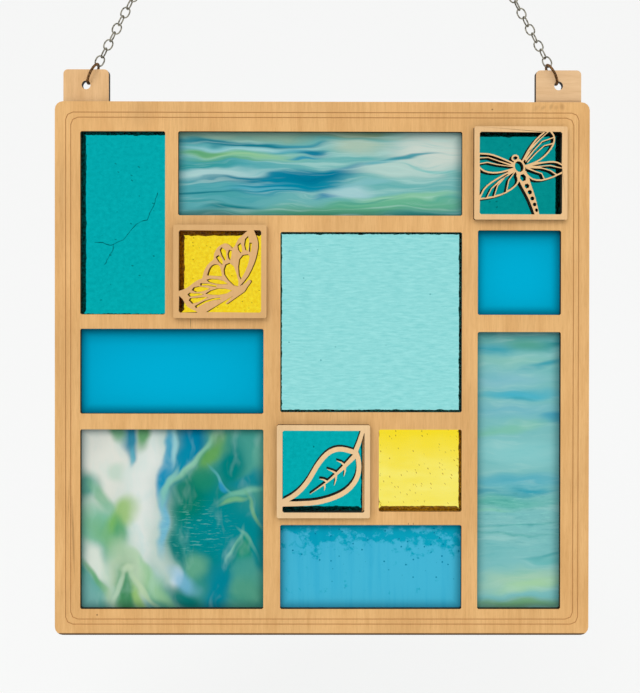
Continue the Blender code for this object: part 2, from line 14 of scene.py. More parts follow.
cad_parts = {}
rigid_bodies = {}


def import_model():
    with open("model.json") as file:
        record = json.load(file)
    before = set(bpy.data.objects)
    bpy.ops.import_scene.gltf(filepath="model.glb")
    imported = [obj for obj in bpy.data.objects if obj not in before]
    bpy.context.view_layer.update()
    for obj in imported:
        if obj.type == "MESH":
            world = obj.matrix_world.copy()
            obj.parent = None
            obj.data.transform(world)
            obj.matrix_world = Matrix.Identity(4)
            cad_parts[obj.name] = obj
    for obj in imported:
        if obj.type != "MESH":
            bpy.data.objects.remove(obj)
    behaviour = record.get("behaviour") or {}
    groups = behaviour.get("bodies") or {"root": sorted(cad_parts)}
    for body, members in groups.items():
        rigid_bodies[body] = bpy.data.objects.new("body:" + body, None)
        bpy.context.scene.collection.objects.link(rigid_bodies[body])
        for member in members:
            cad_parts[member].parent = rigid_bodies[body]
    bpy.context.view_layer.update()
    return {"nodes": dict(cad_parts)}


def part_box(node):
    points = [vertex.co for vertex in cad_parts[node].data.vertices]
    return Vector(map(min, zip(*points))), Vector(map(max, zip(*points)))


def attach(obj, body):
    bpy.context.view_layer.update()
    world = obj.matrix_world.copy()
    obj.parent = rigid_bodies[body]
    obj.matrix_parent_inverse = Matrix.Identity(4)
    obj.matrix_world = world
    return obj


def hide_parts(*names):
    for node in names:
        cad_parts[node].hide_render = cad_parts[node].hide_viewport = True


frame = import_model()

NODES = frame["nodes"]
ROOT = "root"
MM = 0.001

# Camera, as the photograph was taken. The image's width, the focal length and the optical
# centre's distance from the image's middle are in pixels
IMAGE_WIDTH = 640
FOCAL_PIXELS = 962.9
OPTICAL_CENTRE_OFFSET = (0.5, 44.1)
SENSOR = 36.0
CAMERA_X = -0.00379
CAMERA_Z = -0.38571
CAMERA_DISTANCE = 0.550
CAMERA_YAW = math.radians(0.227)
CAMERA_PITCH = math.radians(-0.309)
CAMERA_ROLL = math.radians(-0.080)

# Stage: a floor that curves up into a backdrop
FLOOR_BELOW_PANEL = 0.10
STAGE_HALF_WIDTH = 4.0
STAGE_FRONT = 3.0
STAGE_BACK = 1.6
STAGE_HEIGHT = 3.2
STAGE_CURVE = 0.9
STAGE_CURVE_STEPS = 24

# The stage glows behind the panel, so that it stays plain white there. Between two y, in
# millimetres, the glow fades to a small share towards the front, and the stage gets paler
STAGE_GLOW = 0.676
GLOW_COLOUR = (0.995, 1.0, 0.995, 1.0)
GLOW_FADES = (-350.0, 50.0)
GLOW_IN_FRONT = 0.16
GREY_IN_FRONT = (0.62, 0.62, 0.62, 1.0)
GREY_BEHIND = (0.28, 0.28, 0.28, 1.0)

# Light: the sky's strength straight down and straight up, and each lamp's place, size and watts
SKY_STRENGTH = (0.36, 0.91)
LAMPS = (
    ("key", (-0.5, -1.6, 0.8), 1.2, 12.0),
    ("fill", (1.2, -1.5, 0.1), 1.4, 4.0),
)

# How far each pane reaches behind the boards
GLASS_SEAT = 0.002

# Raised frames: the border round the cut-out, how far from it the deeper strokes end, how much the
# clean strokes are trimmed, and how far the dark rim shows round them, which is partly burnt sides and
# partly painted shadow that the strokes cast on the glass
OVERLAY_BORDER = 0.0033
STROKES_FROM_BORDER = 0.0003
STROKE_TRIMS = {"leaf_frame": 0.00008, "dragonfly_frame": 0.00020, "butterfly_frame": 0.00017}
SOOT_AND_SHADOW_RIM = 0.00014

# Chain and rings
LINK_PITCH = 0.00525
LINK_WIRE = 0.00088
LINK_HALF_LENGTH = 0.003025
LINK_HALF_WIDTH = 0.00235
LINK_SQUARENESS = 0.85
LINKS_PER_LEG = 52
FIRST_LINK_FROM_RING = 0.0083
LINK_TURN = {"left": math.radians(88), "right": math.radians(-88)}
LINK_SLACK = 6
LEG_SHIFT = {"left": 0.0, "right": 0.0012}
JUMP_RING_WIRE = 0.0015
JUMP_RING_STEPS = 56
JUMP_RING_GAP_AT = math.radians(200)
JUMP_RING_HALF_GAP = math.radians(2)
TOP_RING_WIRE = 0.0020
TOP_RING_STEPS = 72

# Where most of a noise's values lie
NOISE_MIDDLE = (0.35, 0.65)

# The half size in y, in millimetres, of an ellipse that reaches right through the object
THROUGH = 1000.0


def colour(red, green, blue):
    """A colour given as the photograph's own 0 to 255 values, made linear."""
    parts = []
    for value in (red, green, blue):
        share = value / 255
        parts.append(share / 12.92 if share <= 0.04045 else ((share + 0.055) / 1.055) ** 2.4)
    return (*parts, 1.0)


def box_centre(name):
    low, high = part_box(name)
    return (low + high) / 2


def finished_mesh(shape, name):
    """The mesh of a shape that is built, and done with."""
    mesh = bpy.data.meshes.new(name)
    shape.to_mesh(mesh)
    shape.free()
    return mesh


def add_object(name, data):
    thing = bpy.data.objects.new(name, data)
    bpy.context.scene.collection.objects.link(thing)
    return thing


class Shader:
    """One material, with short ways to add the nodes that its surface needs."""

    def __init__(self, name):
        self.material = bpy.data.materials.new(name)
        self.material.use_nodes = True
        self.nodes = self.material.node_tree.nodes
        self.links = self.material.node_tree.links
        self.surface = self.nodes["Principled BSDF"]

    def put(self, socket, value):
        if isinstance(value, bpy.types.NodeSocket):
            self.links.new(value, socket)
        else:
            socket.default_value = value

    def set(self, **values):
        """Plain values, or nodes' outputs, on the surface's sockets."""
        for name, value in values.items():
            self.put(self.surface.inputs[name.replace("_", " ")], value)

    def add(self, kind, inputs, **settings):
        """A new node with its settings, and with plain values or outputs on its inputs."""
        node = self.nodes.new(f"ShaderNode{kind}")
        for name, value in settings.items():
            setattr(node, name, value)
        for socket, value in inputs.items():
            self.put(node.inputs[socket], value)
        return node

    def objects(self):
        """The point's place on the object, in millimetres."""
        place = self.add("TexCoord", {}).outputs["Object"]
        return self.stretch(place, (1 / MM, 1 / MM, 1 / MM))

    def stretch(self, vector, scale):
        return self.add("VectorMath", {0: vector, 1: scale}, operation="MULTIPLY").outputs[0]

    def shift(self, vector, other, amount):
        """vector + (other - 0.5) * amount"""
        half = [part / 2 for part in amount]
        back = self.add("VectorMath", {0: vector, 1: half}, operation="SUBTRACT").outputs[0]
        inputs = {0: other, 1: amount, 2: back}
        return self.add("VectorMath", inputs, operation="MULTIPLY_ADD").outputs[0]

    def within(self, vector, centre, size, tilt=0.0):
        """The vector in the space of a tilted ellipse: 1 from its middle to its rim."""
        inputs = {
            "Vector": vector,
            "Location": (centre[0], 0.0, centre[1]),
            "Rotation": (0.0, -tilt, 0.0),
            "Scale": (size[0], THROUGH, size[1]),
        }
        return self.add("Mapping", inputs, vector_type="TEXTURE").outputs[0]

    def square(self, vector):
        """The larger of the x and z parts: 1 on the rim of a rectangle."""
        parts = [self.sum("ABSOLUTE", self.part(vector, index), 0.0) for index in (0, 2)]
        return self.sum("MAXIMUM", *parts)

    def length(self, vector):
        return self.add("VectorMath", {0: vector}, operation="LENGTH").outputs["Value"]

    def noise(self, vector, scale, detail=2.0, roughness=0.5, output="Fac"):
        vector = self.stretch(vector, scale)
        inputs = {"Vector": vector, "Scale": 1.0, "Detail": detail, "Roughness": roughness}
        return self.add("TexNoise", inputs).outputs[output]

    def cells(self, vector):
        """Scattered points: the distance to the nearest, and a random value of its own."""
        node = self.add("TexVoronoi", {"Vector": vector, "Scale": 1.0})
        return node.outputs["Distance"], self.part(node.outputs["Color"], 0)

    def part(self, vector, index):
        return self.add("SeparateXYZ", {0: vector}).outputs[index]

    def fade(self, value, start, end):
        """0 up to start, 1 from end on, and smooth between. start may be the larger one."""
        inputs = {"Value": value, "From Min": start, "From Max": end}
        return self.add("MapRange", inputs, interpolation_type="SMOOTHSTEP").outputs["Result"]

    def sum(self, operation, first, second):
        """Any sum of two values. MULTIPLY_ADD also adds the node's own third value, 0.5."""
        return self.add("Math", {0: first, 1: second}, operation=operation).outputs[0]

    def times(self, first, second):
        return self.sum("MULTIPLY", first, second)

    def mix(self, share, first, second, blend="MIX"):
        inputs = {"Factor": share, 6: first, 7: second}
        return self.add("Mix", inputs, data_type="RGBA", blend_type=blend).outputs[2]

    def bump(self, height, strength, distance):
        inputs = {"Strength": strength, "Distance": distance, "Height": height}
        self.set(Normal=self.add("Bump", inputs).outputs[0])


# Wood

# Lines of grain: width and length in millimetres, detail, roughness, where the noise starts
# to show and where it is full, and the tint
GRAIN = (
    (9.0, 60.0, 3.0, 0.55, 0.35, 0.65, (0.93, 0.895, 0.85, 1.0)),
    (1.9, 40.0, 4.0, 0.65, 0.36, 0.66, (0.93, 0.905, 0.865, 1.0)),
    (0.50, 8.0, 3.0, 0.65, 0.46, 0.72, (0.89, 0.86, 0.80, 1.0)),
)
CLOUD_SCALE = (0.02, 0.02, 0.02)
CLOUD_DIMS = 0.94
FINE_GRAIN_SCALE = (2.0, 2.0, 0.2)

# A face counts as a broad one where its normal leans no more than this from front or back
BROAD_FACE = (0.6, 0.9)

# Depth of the engraved double line, the width of the fade from clean to burnt at that depth,
# and the depths between which the wood turns to the line's colour, all in millimetres
ENGRAVING_DEPTH = 0.31
SKIN_FADE = 0.04
ENGRAVED_DEPTHS = (0.1, 0.25)


def grain_tint(shader, place, along, surface, strength=1.0):
    """Lines of grain that run along one axis and change quickly across it."""
    for wide, long, detail, roughness, start, end, tint in GRAIN:
        scale = [1 / wide] * 3
        scale[along] = 1 / long
        lines = shader.noise(place, scale, detail, roughness)
        share = shader.times(shader.fade(lines, start, end), strength)
        surface = shader.mix(share, surface, tint, "MULTIPLY")
    return surface


def wood(name, shade, faces, details=None, skin=None, grain=1.0):
    """Clear-finished wood whose sawn sides are burnt dark.

    faces says which broad faces are clean: front, back or both. Nothing is burnt in front
    of skin, a y in millimetres, so that engraved lines stay light.
    """
    shader = Shader(name)
    place = shader.objects()
    plain = colour(*shade)
    dimmer = [part * CLOUD_DIMS for part in plain[:3]] + [1.0]
    cloud = shader.noise(place, CLOUD_SCALE, 2.0)
    surface = shader.mix(shader.fade(cloud, *NOISE_MIDDLE), plain, dimmer)
    surface = grain_tint(shader, place, 2, surface, grain)
    if details:
        surface = details(shader, place, surface)
    facing = shader.part(shader.add("NewGeometry", {}).outputs["True Normal"], 1)
    if faces == "both":
        facing = shader.sum("ABSOLUTE", facing, 0.0)
    towards = -1 if faces == "front" else 1
    clean = shader.fade(facing, *[towards * limit for limit in BROAD_FACE])
    if skin is not None:
        shallow = shader.fade(shader.part(place, 1), skin + SKIN_FADE, skin)
        clean = shader.sum("MAXIMUM", clean, shallow)
    burnt = burnt_side(shader, place)
    shader.set(Base_Color=shader.mix(clean, burnt, surface))
    fine = shader.noise(place, FINE_GRAIN_SCALE, 3.0)
    shader.set(Roughness=shader.sum("MULTIPLY_ADD", fine, 0.25), Specular_IOR_Level=0.2)
    shader.bump(fine, 0.10, 0.05 * MM)
    return shader.material


# Coloured light that the clear glass throws on the sawn sides behind it: panes, its dark
# and light, and how much of it reaches the sides in front of the glass
GLOWS = (
    (("butterfly_pane", "small_yellow_pane"), (176, 112, 34), (232, 172, 78), 0.36),
    (("tall_teal_pane", "dragonfly_pane", "leaf_pane"), (96, 112, 96), (150, 166, 146), 0.04),
)
GLASS_DEPTHS = (-1.0, 1.0)
WINDOW_RIM = (1.05, 0.99)
SOOT = (colour(32, 24, 15), colour(62, 42, 24))
SOOT_SCALE = (1.1, 0.5, 1.1)


def burnt_side(shader, place):
    """Soot, lit up in the windows where clear glass throws its light on the sides."""
    soot = shader.fade(shader.noise(place, SOOT_SCALE, 3.0), 0.35, 0.7)
    burnt = shader.mix(soot, *SOOT)
    for names, dark, light, in_front in GLOWS:
        glow = shader.mix(soot, colour(*dark), colour(*light))
        behind = shader.fade(shader.part(place, 1), *GLASS_DEPTHS)
        reaching = shader.sum("MAXIMUM", behind, in_front)
        for name in names:
            low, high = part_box(name)
            middle = [(low.x + high.x) / 2 / MM, (low.z + high.z) / 2 / MM]
            reach = [(high.x - low.x) / 2 / MM, (high.z - low.z) / 2 / MM]
            lit = shader.fade(shader.square(shader.within(place, middle, reach)), *WINDOW_RIM)
            burnt = shader.mix(shader.times(lit, reaching), burnt, glow)
    return burnt


def sawn_and_shadow_wood(name):
    """Wood that is burnt all over, for the deeper strokes that show only their sides, which also stand
    for painted shadow that the strokes cast on the glass.
    """
    shader = Shader(name)
    shader.set(
        Base_Color=burnt_side(shader, shader.objects()),
        Roughness=0.8,
        Specular_IOR_Level=0.1,
    )
    return shader.material


# Marks on the front board, in millimetres: centre, half sizes, tilt, strength
FRONT_MARKS = (
    ((96.9, -278.4), (0.5, 0.5), 0, 0.75),
    ((-128.5, -567.5), (0.5, 0.5), 0, 0.75),
    ((-142.2, -522.0), (0.7, 22.0), 2, 0.35),
    ((-144.6, -500.0), (0.3, 14.0), -2, 0.25),
    ((-75.3, -400.6), (0.22, 3.4), 0, 0.6),
    ((49.4, -515.3), (0.25, 0.7), 0, 0.7),
    ((52.2, -515.3), (0.25, 0.7), 0, 0.7),
    ((126.0, -277.4), (1.8, 1.0), 35, 0.20),
    ((130.5, -276.8), (1.0, 1.8), -25, 0.24),
    ((133.4, -277.2), (1.4, 1.2), 30, 0.18),
    ((136.8, -276.8), (1.4, 1.8), 15, 0.26),
    ((122.0, -277.6), (2.6, 1.2), 40, 0.14),
    ((-104.0, -281.0), (7.0, 8.0), 0, 0.10),
    ((-148.5, -330.0), (1.6, 30.0), 0, 0.10),
)
MARK_COLOUR = colour(84, 48, 20)
ENGRAVED_COLOUR = colour(197, 147, 90)

# A dark line along the front board's lower edge: heights over that edge, in millimetres, between which
# it fades in, its strength and its colour
FOOT_HEIGHTS = (1.25, 0.75)
FOOT_STRENGTH = 0.9
FOOT_COLOUR = colour(46, 32, 20)

# The right tab: colour and strength of the grain that crosses it, and the painted shade along its
# foot, where the front board meets it, in millimetres: its middle's x and height over the board, half
# sizes, strength, colour
CROSSED_COLOUR = colour(234, 195, 149)
CROSSED_STRENGTH = 0.7
TAB_SHADE_PLACE = (135.6, 1.3)
TAB_SHADE_SIZE = (30.0, 0.45)
TAB_SHADE_STRENGTH = 0.45
TAB_SHADE_COLOUR = colour(170, 120, 78)


def front_details(shader, place, surface):
    """The engraved double line, a dark line along the lower edge and a few dark marks."""
    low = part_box("front_frame")[0]
    for centre, size, tilt, strength in FRONT_MARKS:
        inside = shader.length(shader.within(place, centre, size, math.radians(tilt)))
        share = shader.times(shader.fade(inside, 1.5, 0.2), strength)
        surface = shader.mix(share, surface, MARK_COLOUR)
    limits = [low.y / MM + depth for depth in ENGRAVED_DEPTHS]
    engraved = shader.fade(shader.part(place, 1), *limits)
    surface = shader.mix(engraved, surface, ENGRAVED_COLOUR)
    limits = [low.z / MM + height for height in FOOT_HEIGHTS]
    dark_foot = shader.fade(shader.part(place, 2), *limits)
    share = shader.times(dark_foot, FOOT_STRENGTH)
    return shader.mix(share, surface, FOOT_COLOUR)


def tab_details(shader, place, surface):
    """The right tab's grain runs across it, with painted shade along its foot, where it meets the
    front board.
    """
    crossed = grain_tint(shader, place, 0, CROSSED_COLOUR, CROSSED_STRENGTH)
    surface = shader.mix(shader.fade(shader.part(place, 0), -1.0, 1.0), surface, crossed)
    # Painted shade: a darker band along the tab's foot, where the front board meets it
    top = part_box("front_frame")[1].z / MM
    centre = (TAB_SHADE_PLACE[0], top + TAB_SHADE_PLACE[1])
    line = shader.length(shader.within(place, centre, TAB_SHADE_SIZE))
    share = shader.times(shader.fade(line, 1.0, 0.6), TAB_SHADE_STRENGTH)
    return shader.mix(share, surface, TAB_SHADE_COLOUR)


# Glass. A clear pane's seeds are the cells whose random value lies past SEED_CHANCE. The band
# round a milky pane starts and is full at these distances from its edge, in millimetres. The
# waves in a pane's front are noises, each given by how much finer and how strong it is
CLEAR_TINT = (0.02, 0.25, 0.25, 1.0)
MILKY_TINT = (0.1, 0.8, 1.0, 1.0)
SEED_CHANCE = (0.55, 0.60)
EDGE_BAND = (8.0, 1.2)
EDGE_DIMS = (0.62, 0.70, 0.72, 1.0)
STREAK_PALE = colour(186, 222, 214)
STREAK_DEEP = (0.30, 0.78, 0.84, 1.0)
WAVE_NOISES = ((1.0, 1.0), (2.1, 0.5), (4.3, 0.25))


def pane_shares(shader, name):
    """The point's place on a pane, from 0 to 1 across and up."""
    low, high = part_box(name)
    size = high - low
    inputs = {
        "Vector": shader.add("TexCoord", {}).outputs["Object"],
        "Location": (low.x, 0.0, low.z),
        "Scale": (size.x, 1.0, size.z),
    }
    return shader.add("Mapping", inputs, vector_type="TEXTURE").outputs[0]


def clear_glass(name, deep, bright, ripple, speck, speck_spacing, speck_size, finish=None):
    """See-through coloured glass, with uneven depth of colour and small seeds in it."""
    shader = Shader(name)
    place = shader.objects()
    waves = shader.noise(place, ripple, 3.0, 0.6)
    tint = shader.mix(shader.fade(waves, 0.32, 0.68), colour(*deep), colour(*bright))
    if finish:
        tint = finish(shader, tint)
    points = shader.stretch(place, [1 / speck_spacing, 0.01, 1 / speck_spacing])
    distance, chance = shader.cells(points)
    size = shader.times(chance, speck_size / speck_spacing)
    seed = shader.fade(shader.sum("SUBTRACT", distance, size), 0.06, 0.0)
    kept = shader.fade(chance, *SEED_CHANCE)
    tint = shader.mix(shader.times(seed, kept), tint, colour(*speck))
    shader.set(
        Base_Color=tint,
        Transmission_Weight=1.0,
        Roughness=0.0,
        IOR=1.5,
        Specular_Tint=CLEAR_TINT,
    )
    return shader.material


def edge_shade(shader, pane, surface):
    """The dimmer band round a milky pane, where the boards keep the light off."""
    low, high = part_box(pane)
    size = (high - low) / MM
    middle = (low + high) / 2 / MM
    place = shader.objects()
    gaps = []
    for index in (0, 2):
        offset = shader.sum("SUBTRACT", shader.part(place, index), middle[index])
        gaps.append(shader.sum("SUBTRACT", size[index] / 2, shader.sum("ABSOLUTE", offset, 0.0)))
    gap = shader.sum("MINIMUM", *gaps)
    return shader.mix(shader.fade(gap, *EDGE_BAND), surface, EDGE_DIMS, "MULTIPLY")


def streaks(shader, stirred, scale, strength, surface):
    """Fine pale and deep streaks that follow the stirring."""
    lines = shader.noise(stirred, scale, 3.0, 0.6)
    pale = shader.times(shader.fade(lines, 0.50, 0.72), strength)
    deep = shader.times(shader.fade(lines, 0.50, 0.28), strength)
    surface = shader.mix(pale, surface, STREAK_PALE)
    return shader.mix(deep, surface, STREAK_DEEP, "MULTIPLY")


def opal_glass(name, pane, ground, washes, rims, stir, stir_size, flow=None, finish=None):
    """Milky streaky glass: soft washes of colour, stirred into the ground colour. In the flat blue
    panes the washes are painted light and shade.

    rims are where a wash starts to show and where it is full, in shares of its half sizes.
    """
    shader = Shader(name)
    shares = pane_shares(shader, pane)
    swirl = shader.noise(shader.objects(), stir_size, 1.5, 0.45, "Color")
    stirred = shader.shift(shares, swirl, stir)
    surface = colour(*ground)
    for x, z, half_x, half_z, tilt, shade, strength in washes:
        centre, size = (x / 100, z / 100), (half_x / 100, half_z / 100)
        inside = shader.length(shader.within(stirred, centre, size, math.radians(tilt)))
        share = shader.times(shader.fade(inside, *rims), strength)
        surface = shader.mix(share, surface, colour(*shade))
    if flow:
        surface = streaks(shader, stirred, *flow, surface)
    if finish:
        surface = finish(shader, surface)
    shader.set(
        Base_Color=edge_shade(shader, pane, surface),
        Roughness=0.18,
        Specular_IOR_Level=0.04,
        Specular_Tint=MILKY_TINT,
    )
    return shader.material


def pane_mesh(node_name, cell, depth, waves):
    """A pane whose front is wavy. depth is how far the waves cut in, waves their length."""
    low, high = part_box(node_name)
    columns = round((high.x - low.x) / cell)
    rows = round((high.z - low.z) / cell)
    shape = bmesh.new()
    front, back = [], []
    for row in range(rows + 1):
        z = low.z + (high.z - low.z) * row / rows
        for column in range(columns + 1):
            x = low.x + (high.x - low.x) * column / columns
            point = Vector((x / waves[0], 0.0, z / waves[1]))
            height = sum(share * noise.noise(point * finer) for finer, share in WAVE_NOISES)
            inset = depth * min(max(0.5 + 0.6 * height, 0.0), 1.0)
            front.append(shape.verts.new((x, low.y + inset, z)))
            back.append(shape.verts.new((x, high.y, z)))

    def corner(layer, row, column):
        return layer[row * (columns + 1) + column]

    for row in range(rows):
        for column in range(columns):
            steps = ((row, column), (row, column + 1), (row + 1, column + 1), (row + 1, column))
            shape.faces.new([corner(front, *step) for step in steps])
            shape.faces.new([corner(back, *step) for step in reversed(steps)])
    rim = [(0, column) for column in range(columns)]
    rim += [(row, columns) for row in range(rows)]
    rim += [(rows, column) for column in range(columns, 0, -1)]
    rim += [(row, 0) for row in range(rows, 0, -1)]
    for start, end in zip(rim, rim[1:] + rim[:1]):
        wall = (corner(front, *end), corner(front, *start), corner(back, *start), corner(back, *end))
        shape.faces.new(wall)
    mesh = finished_mesh(shape, node_name)
    mesh.shade_smooth()
    mesh.set_sharp_from_angle(angle=math.radians(50))
    return mesh


def add_piece(name, mesh, material, slot, *replaced):
    """A new piece of the object, which rides with it and stands for the solids it replaces."""
    piece = add_object(name, mesh)
    mesh.materials.append(material)
    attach(piece, ROOT)
    if replaced:
        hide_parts(*replaced)
    return piece


# Washes of colour in the milky panes, and painted light and shade in the flat blue ones: centre and
# half sizes, across and up, in hundredths of the pane, tilt in degrees, colour, strength
WIDE_SWIRL_WASHES = (
    (10, 45, 34, 50, 0, (78, 164, 174), 0.75),
    (35, 97, 62, 9, 0, (124, 156, 124), 0.95),
    (58, 95, 14, 4, 0, (160, 172, 134), 0.7),
    (78, 93, 8, 5, 0, (120, 178, 164), 0.7),
    (24, 83.5, 28, 3.4, -5, (14, 120, 140), 0.95),
    (42, 83, 8, 2, -10, (60, 150, 170), 0.8),
    (25, 77.5, 24, 3, 0, (150, 202, 206), 0.9),
    (21, 69.5, 20, 5.5, -4, (154, 202, 150), 0.85),
    (10, 71, 7, 3, 0, (92, 164, 110), 0.8),
    (19, 64, 16, 1.5, -4, (100, 170, 130), 0.7),
    (47.5, 73.5, 6, 2.8, -14, (0, 122, 152), 0.95),
    (44, 69, 5, 1.2, 8, (20, 140, 176), 0.8),
    (40, 76, 7, 3, 10, (80, 165, 180), 0.7),
    (9, 60, 12, 4.5, 0, (52, 152, 154), 0.95),
    (14, 50.5, 22, 5.5, 0, (168, 206, 206), 0.95),
    (28, 45, 22, 3.6, 2, (0, 116, 142), 0.95),
    (40, 47, 10, 4, 15, (20, 128, 160), 0.9),
    (42, 40, 20, 11, 14, (6, 134, 160), 0.95),
    (50, 49, 18, 7.5, 22, (0, 120, 150), 1),
    (62, 59, 7, 3.5, 24, (20, 130, 160), 0.85),
    (38, 34.5, 17, 7.5, 8, (0, 134, 162), 0.95),
    (31, 40, 10, 2, 0, (60, 150, 175), 0.7),
    (30, 33.5, 12, 2, -4, (90, 176, 192), 0.8),
    (53, 27.5, 5, 2.2, 16, (10, 124, 164), 0.9),
    (10, 30, 14, 2.2, -4, (20, 124, 136), 0.9),
    (16, 26, 10, 3, 0, (70, 160, 165), 0.8),
    (19, 14.5, 9, 3.5, 6, (10, 122, 130), 0.9),
    (8, 19, 10, 2, -8, (60, 150, 155), 0.7),
    (8, 5, 18, 6, 0, (88, 146, 140), 0.9),
    (30, 10, 12, 4, 0, (120, 180, 165), 0.7),
    (60, 32, 9, 6, 10, (166, 206, 210), 0.9),
    (66, 40, 10, 2, 18, (130, 190, 195), 0.7),
    (90, 75, 18, 24, 0, (202, 214, 204), 1),
    (75, 55, 14, 10, 0, (178, 208, 200), 0.95),
    (63, 80, 10, 8, 0, (176, 198, 178), 0.9),
    (79.5, 68, 12, 2.2, 22, (56, 148, 162), 0.9),
    (70, 62, 6, 3, 18, (90, 170, 180), 0.8),
    (90, 55.5, 10, 1.8, -30, (122, 190, 186), 0.9),
    (97, 50, 5, 3, -30, (110, 180, 176), 0.7),
    (58, 10, 32, 10, 5, (92, 168, 132), 0.95),
    (75, 19, 22, 8, 10, (104, 180, 144), 0.95),
    (80, 27, 18, 4, 6, (136, 196, 160), 0.9),
    (66, 22.5, 12, 1.4, 20, (84, 164, 140), 0.8),
    (90, 17, 12, 6, 0, (96, 174, 140), 0.8),
    (88, 4, 16, 4, 0, (48, 140, 132), 0.9),
    (26, 95, 34, 6, 0, (150, 186, 168), 0.9),
)

LARGE_SWIRL_WASHES = (
    (10, 80, 25, 38, 0, (222, 224, 214), 1),
    (4, 96, 14, 12, 0, (186, 194, 186), 0.3),
    (37, 62, 15, 52, -4, (222, 228, 222), 1),
    (46, 26, 5.5, 22, 20, (214, 226, 216), 0.95),
    (20, 73.5, 4.5, 5, 0, (168, 204, 180), 0.5),
    (68, 46, 25, 42, 0, (0, 128, 122), 1),
    (82, 42, 24, 19, 0, (0, 134, 142), 1),
    (90, 88, 17, 18, 0, (66, 154, 142), 0.9),
    (81, 79, 8, 15, 0, (0, 126, 122), 1),
    (20, 97, 3.5, 8, 25, (100, 160, 116), 0.9),
    (34.5, 96, 4.5, 9, -20, (90, 154, 98), 0.95),
    (26.5, 93, 3.4, 13, 4, (0, 126, 156), 0.95),
    (27.5, 83, 1.6, 5, 0, (70, 164, 186), 0.8),
    (60, 93, 8, 17, -6, (0, 118, 156), 1),
    (54, 79, 6, 17, -24, (0, 136, 168), 0.95),
    (50, 88, 2, 14, -8, (150, 204, 210), 0.9),
    (47.5, 87, 1.8, 11, -14, (40, 154, 190), 0.85),
    (46, 70, 3.4, 15, -4, (0, 140, 182), 1),
    (44.5, 47, 2.8, 16, 0, (108, 180, 206), 0.9),
    (61, 80, 2, 25, -40, (140, 200, 168), 0.9),
    (48.5, 66, 1.8, 11, -22, (130, 195, 180), 0.85),
    (68, 80, 5, 20, -38, (84, 154, 118), 0.85),
    (70, 83, 3.5, 10, -38, (98, 162, 84), 0.9),
    (74, 93, 4, 5, -30, (112, 158, 108), 0.7),
    (58.5, 61, 8, 14, -20, (0, 120, 100), 0.95),
    (66, 70, 6, 6, 0, (30, 136, 104), 0.7),
    (76, 68.5, 1.2, 10, 38, (92, 174, 178), 0.85),
    (76.5, 66, 2, 4, 30, (40, 144, 186), 0.9),
    (88, 63.5, 14, 1.8, 18, (114, 184, 158), 0.9),
    (81, 58.5, 7.5, 1.4, 12, (120, 180, 132), 0.9),
    (92.5, 53, 1.2, 10, 22, (112, 174, 130), 0.85),
    (82.2, 35, 1.2, 10, -28, (122, 190, 172), 0.9),
    (90.5, 36, 1.2, 10, 34, (122, 188, 168), 0.9),
    (86.5, 33.5, 4.5, 7, 0, (0, 138, 106), 0.95),
    (93, 70.5, 12, 4.5, 16, (0, 132, 146), 0.9),
    (97.5, 86, 4, 14, 0, (104, 178, 158), 0.7),
    (88, 20, 11, 10, 0, (72, 156, 142), 0.7),
    (62, 23, 7, 8, -15, (98, 166, 136), 0.9),
    (80, 25, 2.2, 14, -22, (0, 130, 126), 0.85),
    (95, 29, 3.5, 9, 28, (0, 134, 140), 0.8),
    (86, 5.5, 13, 2.5, -12, (16, 134, 128), 0.8),
    (52.5, 32, 2.6, 9, 12, (0, 118, 114), 0.9),
    (51.5, 17, 3.5, 5, 0, (220, 229, 229), 0.9),
    (56, 15, 10, 4.5, -38, (122, 182, 214), 0.8),
    (57, 6, 11, 5, -24, (0, 118, 112), 0.95),
    (74, 9, 7, 20, -8, (0, 130, 148), 1),
    (90, 9, 11, 9, 0, (82, 156, 130), 0.9),
    (3, 66, 8, 9, 32, (84, 156, 138), 0.95),
    (12, 60, 3, 11, 40, (122, 180, 142), 0.8),
    (10, 46, 17, 11, -10, (128, 188, 158), 1),
    (25, 53, 6.5, 10, -20, (150, 190, 112), 0.9),
    (18, 46, 5, 6, -30, (124, 182, 88), 0.85),
    (22, 42, 5, 8, 0, (90, 162, 114), 0.85),
    (27, 26, 5.5, 30, 42, (114, 176, 122), 0.95),
    (37, 19, 3, 20, 36, (152, 198, 152), 0.8),
    (9, 27, 6, 13, 32, (216, 226, 214), 1),
    (13, 13, 2.2, 17, 36, (94, 166, 110), 0.9),
    (5, 7, 8, 12, 20, (118, 176, 170), 0.95),
    (24.5, 14, 10, 22, 6, (208, 222, 198), 1),
    (25, 8, 6.6, 21, 4, (92, 156, 108), 1),
    (31.5, 7, 3, 10, 20, (146, 190, 112), 0.9),
    (25.5, 10, 3.6, 13, 6, (66, 138, 92), 0.9),
    (21.8, 13, 1.5, 13, -14, (192, 214, 182), 0.65),
    (34, 13, 1.6, 15, 36, (184, 210, 168), 0.65),
    (25.8, 23.5, 3.4, 2.6, 0, (190, 212, 180), 0.7),
)

